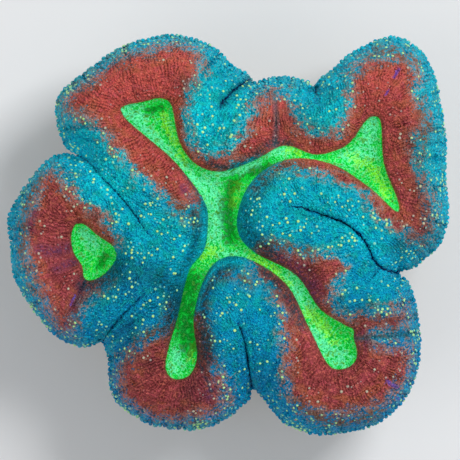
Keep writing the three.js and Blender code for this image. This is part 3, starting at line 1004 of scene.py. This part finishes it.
class FleshShader(Shader):
    """A material of the flesh: teal, brick-red bands that fray into grains, and the green floor with a
    painted glow.

    Its clouds of noise are named by their size, from patch to micro. Streaks run with the flow and rungs
    across it.
    """

    def __init__(self, name, look):
        super().__init__(name)
        self.look = look
        self.patch, self.blot, self.spot = self.noise(9), self.noise(2.4), self.noise(1.2)
        self.fine, self.micro = self.noise(0.6, 3.0), self.noise(0.3, 1.0)
        place, across = self.vector("ADD", self.place, self.sway(3, 2.2)), self.read("across", "Vector")
        self.streak = self.stripes(place, across, 2.8, 4.4)
        self.rung = self.stripes(place, self.vector("CROSS_PRODUCT", across, (0, 0, 1)), 1.5, 2.3)
        self.fibres, self.flutes = self.read("fibres"), self.read("flutes")
        self.rim, self.red = self.read("rim"), self.read("red")
        self.speckle = self.step(self.fine, 0.42, 0.58) * 0.6 + 0.2
        self.drift = self.red + (self.blot - 0.5) * 5.5
        self.floor = self.step(self.read("valley"), 0.12, -0.12)
        fibred = self.streak * 0.7 + self.rung * 0.35
        self.relief = fibred * (1 - self.floor * 0.75) + self.fine * 0.8 + self.micro * 0.35

    def part(self, axis):
        """One coordinate, in the curves' millimetres."""
        return self.add("ShaderNodeSeparateXYZ", {}, {"Vector": self.place}, axis)

    def flesh(self):
        """The whole flesh's colour."""
        tint = self.border(self.mix(self.bands(), self.teal(), self.brick()))
        return self.mix(self.floor, self.marks(tint), self.green())

    def teal(self):
        """Teal of the lobes, lightest towards +Y, partly its own tone and partly painted light: bluer spots,
        ribs darker in the flutes' hollows, partly painted shade, dark lines and pits, and pale grains.
        """
        look = self.look
        # painted light: lit and shaded copies of the teal, the lit one towards +Y, mixed by the flesh's own
        # patchy tone
        tone = self.part("Y") * 0.02 + self.part("X") * 0.001 + self.patch * 0.7
        near_cleft = self.step(self.read("cleft"), 6, 1)
        margin = self.step(self.rim, 9, 3)
        return self.layers(
            self.mix(self.step(tone, -0.28, 0.82), look.teal_deep_and_shaded, look.teal_bright),
            (self.blot, 0.48, 0.62, 0.5, look.teal_sea),
            (self.spot, 0.5, 0.4, 0.4, look.teal_blue),
            (self.rim, 8, 0, 0.35, look.teal_blue),
            (self.streak, 0.52, 0.34, near_cleft * 0.2 + 0.25, look.teal_dark),
            # darker in the flutes' hollows, most near the rim: partly painted shade, partly dark rib lines
            (self.flutes, 0, -1.6, margin * 0.3 + 0.3, look.teal_dark),
            (self.flutes, 0.4, 1.8, margin * 0.35, look.teal_pale),
            (self.fine, 0.5, 0.38, 0.4, look.teal_dark),
            (self.micro, 0.52, 0.64, 0.4, look.teal_pale),
        )

    def brick(self):
        """Red of the bands, lightest at the upper left, partly its own tone and partly painted light: rust
        near the teal, and dark between its fibres, partly painted shade.
        """
        look = self.look
        # painted light: the red lightens towards the upper left, mixed by the bands' own patchy tone
        aside = abs(self.part("X") + 14) * 0.45
        tone_and_painted_light = self.step(self.part("Y") - aside + (self.patch - 0.5) * 40, -14, 24)
        tint = self.layers(
            self.mix(tone_and_painted_light, look.red_low_and_shaded, look.red),
            (self.red + (self.blot - 0.5) * 14, 4.4, 0.8, 0.8, look.red_warm),
            (self.spot, 0.5, 0.62, 0.5, look.red_rose),
            # darker in the flutes' and fibres' hollows: partly painted shade, partly the bands' dark fibre
            # lines
            (self.flutes, 0, -1.6, 0.35, look.red_dark),
            (self.fibres, -0.2, -1.6, 0.45, look.red_dark),
            (self.streak, 0.52, 0.34, 0.6, look.red_dark),
            (self.rung, 0.49, 0.34, 0.4, look.red_dark),
            (self.micro, 0.48, 0.36, 0.3, look.red_dark),
            (self.fine, 0.53, 0.66, 0.5, look.red_pale),
        )
        return self.mix(self.read("plum") * self.speckle, tint, look.plum)

    def bands(self):
        """How far it is red: crisp beside the valley, frayed near the rim, and none over the rolled edge."""
        loose = self.step(self.rim, 9, 3) * 0.6 + 0.5
        grains = (self.fine - 0.5) * 6 + (self.micro - 0.5) * 4 + (self.spot - 0.5) * 3
        crisp = self.step(self.rim, 3, 10) + 0.6
        edge = self.step(self.rim + (self.fine - 0.5) * 5, 0.6, 2.8)
        return self.step((self.drift + grains * loose) * crisp, -1, 1) * edge

    def border(self, tint):
        """Pale and brown grains where red meets teal."""
        seam = abs(self.drift)
        near = self.step(seam, 2.2, 0.2) * self.step(self.rim, 0.8, 2.5)
        return self.layers(
            tint,
            (self.spot, 0.5, 0.6, self.step(seam, 2.6, 0.4) * 0.4, self.look.umber),
            (self.fine, 0.46, 0.58, near * 0.55, self.look.border),
        )

    def marks(self, tint):
        """Painted shade over broad parts of the lobes, brown haze, painted shade on the flanks beside the
        valley, furrows, violet marks, the painted gleam along the valley's edge and painted shade in the
        clefts.
        """
        look, speckle = self.look, self.speckle + 0.1
        # painted shade over the broad darker parts of the lobes
        tint = self.mix(self.read("dusk") * 0.4, tint, look.dusk)
        tint = self.layers(tint, (self.spot + self.fine, 0.8, 1.15, self.read("haze") * 0.8, look.umber))
        # painted shade on the flanks beside the valley and along thin creases, broken up by grains
        tint = self.mix(self.read("shade") * speckle, tint, look.shadow)
        tint = self.layers(
            tint,
            (self.read("furrow"), 0.9, 0.1, 0.5, look.furrow),
            (self.read("violet") + (self.fine - 0.5) * 2, 0.35, 1, 0.6, look.violet),
        )
        tint = self.mix(self.read("gleam") * speckle, tint, look.gleam)
        # painted shade in the clefts: navy down their walls, near black where the lobes meet
        way = self.vector("ADD", self.read("to_cleft", "Vector"), self.sway(0.9, 1.2))
        gap = self.vector("LENGTH", way, output="Value") - self.read("gape")
        near = self.step(self.read("cleft"), 1.5, 1)
        return self.layers(
            tint, (gap, 0.34, 0.08, near * 0.55, look.cleft_wall_shade), (gap, 0.16, 0.05, near, look.cleft)
        )

    def green(self):
        """Green of the valley floor: mint and lemon patches and grains, the mint partly painted light, then
        painted shade in its hollows and dark lines.
        """
        look, deep = self.look, self.read("deep")
        ragged = (self.spot - 0.5) * 3 + (self.fine - 0.5) * 2
        shallow = 1 - deep
        return self.layers(
            look.green,
            # mint: partly painted light on the lit banks
            (self.read("mint") + ragged, 0.15, 0.9, 0.9, look.mint),
            (self.read("lemon") + ragged, 0.2, 1, 0.85, look.lemon),
            (self.fine, 0.52, 0.64, shallow * 0.4, look.lemon),
            (self.rung + self.micro, 1.02, 1.2, shallow * 0.5, look.mint),
            (self.flutes, 0.2, 1.8, 0.35, look.mint),
            # painted shade in the hollows, then dark grains and lines, partly painted shade in the fibres'
            # hollows
            (deep + ragged * 0.9, 0.1, 1, 0.8, look.green_deep_and_shaded),
            (self.streak, 0.5, 0.34, 0.16, look.green_deep_and_shaded),
            (self.rung, 0.5, 0.34, 0.16, look.green_deep_and_shaded),
            (self.fibres, -0.2, -1.6, 0.35, look.green_deep_and_shaded),
            (self.fine, 0.49, 0.38, 0.3, look.green_deep_and_shaded),
            (self.micro, 0.49, 0.38, 0.25, look.green_deep_and_shaded),
        )

    def wet(self, tint, painted_glow, relief):
        """Finishes the material as soft wet flesh with a painted glow, a share of its own colour, though it
        is no lamp.
        """
        return self.surface(
            Base_Color=tint, Roughness=0.5, Specular_IOR_Level=0.08, Normal=self.bump(relief),
            Emission_Color=self.mix(painted_glow, (0, 0, 0), tint), Emission_Strength=1.0,
        )


def flesh_material(look):
    """The flesh, with a painted glow that is strongest on the valley floor."""
    s = FleshShader("coral_flesh", look)
    # painted glow: strongest on the valley floor and under the painted light strokes
    return s.wet(s.flesh(), s.floor * 0.3 + s.read("light") * 0.3 + 0.06, s.relief)


def bead_material(look):
    """The flesh's own colour at each bead's foot, and a pale tip where the bead has a tone."""
    s = FleshShader("coral_papillae", look)
    tone = s.read("tone")
    tip = s.mix(s.step(tone, 0.4, 1), look.papilla, look.papilla_bright)
    tip = s.mix(s.step(s.red, -0.5, 1.5) * 0.8, tip, look.papilla_rose)
    tint = s.mix(s.step(tone, 0.05, 0.95), s.flesh(), tip)
    # painted glow: a little everywhere, more under the painted light strokes
    return s.wet(tint, s.read("light") * 0.3 + 0.1, s.relief * 0.4)


def skeleton_material(look):
    """Bare stony skeleton: pale ridges, browner grooves, chalky grain and small pits."""
    s = Shader("coral_skeleton")
    patch, grain = s.noise(11), s.noise(0.4, 3.0)
    pore = s.add("ShaderNodeTexVoronoi", {}, {"Vector": s.place, "Scale": 1.6})
    ridge = s.step(s.read("ridge") + (patch - 0.5) * 0.5, -0.25, 0.2)
    tint = s.layers(
        s.mix(ridge, look.stone_dark, look.stone),
        (grain, 0.42, 0.62, 0.5, look.stone_pale),
        (pore, 0.22, 0.08, 0.7, look.stone_dark),
    )
    relief = grain * 0.22 + s.step(pore, 0.05, 0.3) * 0.12
    return s.surface(Base_Color=tint, Roughness=0.85, Specular_IOR_Level=0.3, Normal=s.bump(relief))


# ------------------------------------------------------------------------------------------ settings
def size_property(name, description, default):
    """A setting that is a length in the curves' millimetres."""
    return FloatProperty(name=name, description=description, default=default)


def colour_property(name, description, default):
    """A setting that is a colour, its default given in display values."""
    return FloatVectorProperty(
        name=name, description=description, default=srgb(*default), subtype="COLOR", min=0, max=1
    )


class CoralShape(bpy.types.PropertyGroup):
    """Sizes of the flesh, in millimetres."""

    rim_drop: size_property("Rim Drop", "Fall of the rolled edge to the outline", 17)
    rim_width: size_property("Rim Width", "Breadth of the rolled edge", 12)
    bank_width: size_property("Bank Width", "Broadest bank between valley and crest", 7)
    valley_depth: size_property("Valley Depth", "Crest to the valley floor's edge", 5)
    valley_dish: size_property("Valley Dish", "Edge to middle of the valley floor", 2.8)
    lip_height: size_property("Lip Height", "Steep step round the valley floor", 0.7)
    lump_height: size_property("Lump Height", "Size of the flesh's broad swells", 0.4)
    proud: size_property("Crest Drop", "How far the crest stays under the solid's", 0.6)
    bead_room: size_property("Bead Room", "How far the outline's beads stand out", 0.45)
    grid: IntProperty(name="Grid", description="Cells along each side of the flesh's grid", default=268)


class CoralLook(bpy.types.PropertyGroup):
    """Colours of the coral."""

    # Lit and shaded copies of the teal: painted light towards +Y, partly the flesh's own tone
    teal_bright: colour_property("Bright Teal", "Flesh in the light", (8, 212, 220))
    teal_deep_and_shaded: colour_property("Deep Teal", "Flesh low on the lobes", (2, 134, 190))
    teal_dark: colour_property("Dark Teal", "Pits between the flesh's grains", (0, 80, 118))
    teal_pale: colour_property("Pale Teal", "Tops of the flesh's grains", (24, 216, 218))
    teal_sea: colour_property("Sea Green", "Greener patches of the teal", (8, 168, 146))
    teal_blue: colour_property("Teal Blue", "Bluer spots of the teal", (0, 136, 204))
    # Lit and shaded copies of the red: painted light towards the upper left, partly the bands' own tone
    red: colour_property("Brick Red", "Bands round the valley's ends", (220, 97, 89))
    red_low_and_shaded: colour_property("Deep Red", "The bands low on the coral", (160, 72, 74))
    red_warm: colour_property("Rust", "The bands' edges", (196, 106, 76))
    red_rose: colour_property("Rose", "Pinker patches in the bands", (206, 90, 104))
    red_dark: colour_property("Dark Red", "Between the bands' fibres", (84, 29, 28))
    red_pale: colour_property("Pale Red", "Tops of the bands' grains", (224, 122, 98))
    plum: colour_property("Plum", "Purple patches in the bands", (92, 54, 94))
    border: colour_property("Border", "Pale grains where red meets teal", (170, 162, 158))
    umber: colour_property("Umber", "Brown grains on both sides of it", (120, 84, 62))
    # painted shade for the flanks beside the valley
    shadow: colour_property("Deep Flank", "Flesh deep beside the valley", (6, 66, 80))
    # painted shade: the dark that the broad darker parts of the lobes are mixed towards
    dusk: colour_property("Dusk", "Broad darker parts of the lobes", (18, 30, 46))
    gleam: colour_property("Gleam", "Cyan light along the valley's edge", (10, 190, 214))
    furrow: colour_property("Furrow", "Floor of the shallow furrows", (50, 112, 124))
    violet: colour_property("Violet", "Small marks in the bands", (76, 84, 210))
    # Painted shade in the clefts
    cleft: colour_property("Cleft", "Deep between two lobes", (2, 14, 60))
    cleft_wall_shade: colour_property("Cleft Edge", "Navy down the cleft's walls", (4, 50, 122))
    green: colour_property("Green", "Valley floor", (16, 214, 62))
    # Partly painted light on the valley's lit banks, partly the floor's own paler colour
    mint: colour_property("Mint", "Paler parts of the valley floor", (100, 240, 178))
    lemon: colour_property("Lemon", "Yellower streaks of the valley floor", (140, 246, 52))
    # painted shade in the valley floor's hollows, also its dark grains
    green_deep_and_shaded: colour_property("Deep Green", "Hollows of the valley floor", (0, 96, 16))
    papilla: colour_property("Papilla", "Small pale papillae", (96, 196, 190))
    papilla_bright: colour_property("Bright Papilla", "Tips of the large papillae", (190, 234, 142))
    papilla_rose: colour_property("Rose Papilla", "Papillae on the red", (184, 160, 156))
    stone: colour_property("Stone", "Bare skeleton", (206, 198, 178))
    stone_pale: colour_property("Pale Stone", "Chalky grains of the skeleton", (232, 228, 214))
    stone_dark: colour_property("Dark Stone", "Grooves and pits of the skeleton", (142, 130, 108))


class CoralStage(bpy.types.PropertyGroup):
    """Floor, light and camera."""

    field: FloatProperty(
        name="Field", description="Width that the camera sees", default=92 * UNIT, unit="LENGTH"
    )
    height: FloatProperty(
        name="Camera Height", description="Camera above the outline", default=2, unit="LENGTH"
    )
    key_power: FloatProperty(name="Key", description="Power of the main softbox", default=3.6, unit="POWER")
    fill: FloatProperty(name="Fill", description="Strength of the light from all round", default=0.45, min=0)
    floor: colour_property("Floor", "Pale studio floor", (226, 227, 229))
    floor_light: colour_property("Light Floor", "Lighter clouds on it", (236, 236, 236))


# ------------------------------------------------------------------------------------------ operators
class CORAL_OT_flesh(bpy.types.Operator):
    """Adds the flesh: lobes, clefts, valleys and the rolled edge, in one closed mesh"""

    bl_idname = "coral.flesh"
    bl_label = "Add Flesh"

    def execute(self, context):
        shape = context.scene.coral_shape
        points, faces, masks = flesh_surface(Form.of(shape), shape.grid, lip_steps=4)
        piece = add_piece("coral_flesh", points, faces, masks)
        piece.data.materials.append(flesh_material(context.scene.coral_look))
        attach(piece, "root")
        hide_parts(NODE)
        return {"FINISHED"}


class CORAL_OT_skeleton(bpy.types.Operator):
    """Adds the ribbed stony foot with its flat cut"""

    bl_idname = "coral.skeleton"
    bl_label = "Add Skeleton"

    def execute(self, context):
        form = Form.of(context.scene.coral_shape)
        points, faces, masks = skeleton_surface(form, around=1150, steps=6)
        piece = add_piece("coral_skeleton", points, faces, masks)
        piece.data.materials.append(skeleton_material(context.scene.coral_look))
        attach(piece, "root")
        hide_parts(NODE)
        return {"FINISHED"}


class CORAL_OT_papillae(bpy.types.Operator):
    """Adds the flesh's beads: pale papillae, fine grains, and the rows over the rolled edge"""

    bl_idname = "coral.papillae"
    bl_label = "Add Papillae"

    def execute(self, context):
        form = Form.of(context.scene.coral_shape)
        look = bead_material(context.scene.coral_look)
        self.add_papillae(form, look)
        self.add_grains(form, look)
        self.add_margin(form, look, context.scene.coral_shape)
        return {"FINISHED"}

    def place(self, form, pitch, seed):
        """Scattered places on the flesh, clear of the outline, with their masks and the random numbers."""
        x, y, random = scatter(form.outline, pitch, seed)
        kept = is_inside(x, y, form.outline)
        x, y = x[kept], y[kept]
        masks = form.masks(x, y)
        return x, y, masks, random

    def add_papillae(self, form, look):
        """Pale papillae: rows on the teal, some just inside the red, none on a valley floor or in a cleft."""
        x, y, masks, random = self.place(form, pitch=0.9, seed=21)
        clump = form.raster.read(form.raster.noise(7, seed=22), x, y)
        teal = ease(-masks["red"], -1.5, 1) * ease(masks["valley"], 0.8, 2.6)
        ridge = ease(masks["flutes"], -1.2, 0.8)
        border = ease(masks["red"], -1, 0.5) * ease(masks["red"], 5, 1) * ease(clump, -0.8, 0.8)
        chance = teal * ridge * (0.64 + 0.36 * clump) + 0.4 * masks["crown"]
        chance += (0.08 + 0.36 * border) * ease(masks["valley"], 0.9, 2.2)
        kept = (random.random(len(x)) < chance) & (masks["cleft"] > 0.7) & (masks["rim"] > 0.6)
        x, y, clump = x[kept], y[kept], clump[kept] + 2 * masks["crown"][kept]
        size = random.random(len(x)) ** 2
        radius = 0.18 + 0.19 * size
        centres = np.stack((x, y, form.height(x, y) + 0.02), axis=1)
        tone = 0.15 + 0.8 * np.clip(size + random.uniform(-0.3, 0.45, len(x)) + 0.12 * clump, 0, 1)
        add_beads("coral_papillae", form, centres, form.normal(x, y), radius, 0.8 * radius, tone, look)

    def add_grains(self, form, look):
        """Fine grains of the flesh's own colour all over the lobes."""
        x, y, masks, random = self.place(form, pitch=0.82, seed=23)
        kept = (masks["valley"] > 0.5) & (masks["cleft"] > 0.4) & (masks["rim"] > 1)
        kept &= random.random(len(x)) < 0.75
        x, y = x[kept], y[kept]
        radius = random.uniform(0.17, 0.31, len(x))
        centres = np.stack((x, y, form.height(x, y) - 0.06), axis=1)
        tone = np.clip(random.normal(0, 0.16, len(x)), 0, 0.45)
        add_beads("coral_grains", form, centres, form.normal(x, y), radius, radius, tone, look)

    def add_margin(self, form, look, shape):
        """Rows of beads over the rolled edge, some of them with bright tips."""
        random = np.random.default_rng(24)
        centres, normals, rows = margin_rows(form, shape, pitch=0.98)
        centres = centres + random.uniform(-0.16, 0.16, centres.shape)
        radius = random.uniform(0.3, 0.5, len(rows)) * (1 + 0.15 * (rows == 0))
        clump = form.raster.read(form.raster.noise(5, seed=25), centres[:, 0], centres[:, 1])
        crown = form.tint(centres[:, 0], centres[:, 1], form.tints["crown"])
        bright = random.random(len(rows)) < (0.28 + 0.22 * clump + 0.45 * crown) * ease(rows, -3, 1)
        tone = random.uniform(0.3, 1, len(rows)) * (1 - 0.5 * crown) + 0.5 * crown
        tone = np.where(bright, tone, 0.1 * random.random(len(rows)))
        centres -= normals * np.where(rows > 3, 0.22, 0.06)[:, None]
        breadth = radius * np.where(bright, 0.8, 1)
        add_beads("coral_margin", form, centres, normals, breadth, radius, tone, look)


class CORAL_OT_stage(bpy.types.Operator):
    """Adds the pale floor, the lights and the camera straight above"""

    bl_idname = "coral.stage"
    bl_label = "Add Stage"

    OUTLINE_LEVEL = 23  # height of the outline, where the camera's field is measured
    AIM = (0.4, 0.9)  # point that the camera looks down on
    FLOOR_WIDTH = 6.0  # metres

    def execute(self, context):
        stage, scene = context.scene.coral_stage, context.scene
        half = self.FLOOR_WIDTH / 2
        corners = [(half * x, half * y, LOW.z) for x, y in ((-1, -1), (1, -1), (1, 1), (-1, 1))]
        mesh = bpy.data.meshes.new("studio_floor")
        mesh.from_pydata(corners, [], [(0, 1, 2, 3)])
        floor = bpy.data.objects.new("studio_floor", mesh)
        s = Shader("studio_floor")
        tone = s.mix(s.noise(60) * 0.25, stage.floor, stage.floor_light)
        mesh.materials.append(s.surface(Base_Color=tone, Roughness=0.7))
        scene.collection.objects.link(floor)

        for name, place, width, power in (
            ("key", (0.34, 0.3, 0.6), 0.28, stage.key_power),
            ("fill", (-0.5, -0.3, 0.55), 0.6, stage.key_power * 0.35),
        ):
            lamp = bpy.data.lights.new(name, "AREA")
            lamp.size = width
            lamp.energy = power
            light = bpy.data.objects.new(name, lamp)
            light.location = place
            light.rotation_euler = (-Vector(place)).to_track_quat("-Z", "Y").to_euler()
            scene.collection.objects.link(light)

        world = bpy.data.worlds.new("studio")
        world.use_nodes = True
        world.node_tree.nodes["Background"].inputs["Color"].default_value = (1, 1, 1, 1)
        world.node_tree.nodes["Background"].inputs["Strength"].default_value = stage.fill
        scene.world = world
        scene.view_settings.view_transform = "Standard"

        lens = bpy.data.cameras.new("camera")
        lens.lens = lens.sensor_width * stage.height / stage.field
        lens.clip_end = 10
        camera = bpy.data.objects.new("camera", lens)
        camera.location = (
            self.AIM[0] * UNIT, self.AIM[1] * UNIT, LOW.z + self.OUTLINE_LEVEL * UNIT + stage.height
        )
        scene.collection.objects.link(camera)
        scene.camera = camera
        return {"FINISHED"}


class CORAL_PT_panel(bpy.types.Panel):
    """Lists the coral's settings and operators"""

    bl_label = "Open Brain Coral"
    bl_space_type = "VIEW_3D"
    bl_region_type = "UI"
    bl_category = "Coral"

    def draw(self, context):
        for settings in (context.scene.coral_shape, context.scene.coral_look, context.scene.coral_stage):
            column = self.layout.column()
            for name in settings.bl_rna.properties.keys()[2:]:
                column.prop(settings, name)
        for operator in OPERATORS:
            self.layout.operator(operator.bl_idname)


SETTINGS = {"coral_shape": CoralShape, "coral_look": CoralLook, "coral_stage": CoralStage}
OPERATORS = (CORAL_OT_flesh, CORAL_OT_skeleton, CORAL_OT_papillae, CORAL_OT_stage)
CLASSES = (*SETTINGS.values(), *OPERATORS, CORAL_PT_panel)


def register():
    for listed in CLASSES:
        bpy.utils.register_class(listed)
    for name, group in SETTINGS.items():
        setattr(bpy.types.Scene, name, PointerProperty(type=group))


def unregister():
    for name in SETTINGS:
        delattr(bpy.types.Scene, name)
    for listed in reversed(CLASSES):
        bpy.utils.unregister_class(listed)


def main():
    register()
    bpy.ops.coral.flesh()
    bpy.ops.coral.skeleton()
    bpy.ops.coral.papillae()
    bpy.ops.coral.stage()
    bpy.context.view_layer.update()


if __name__ == "__main__":
    main()
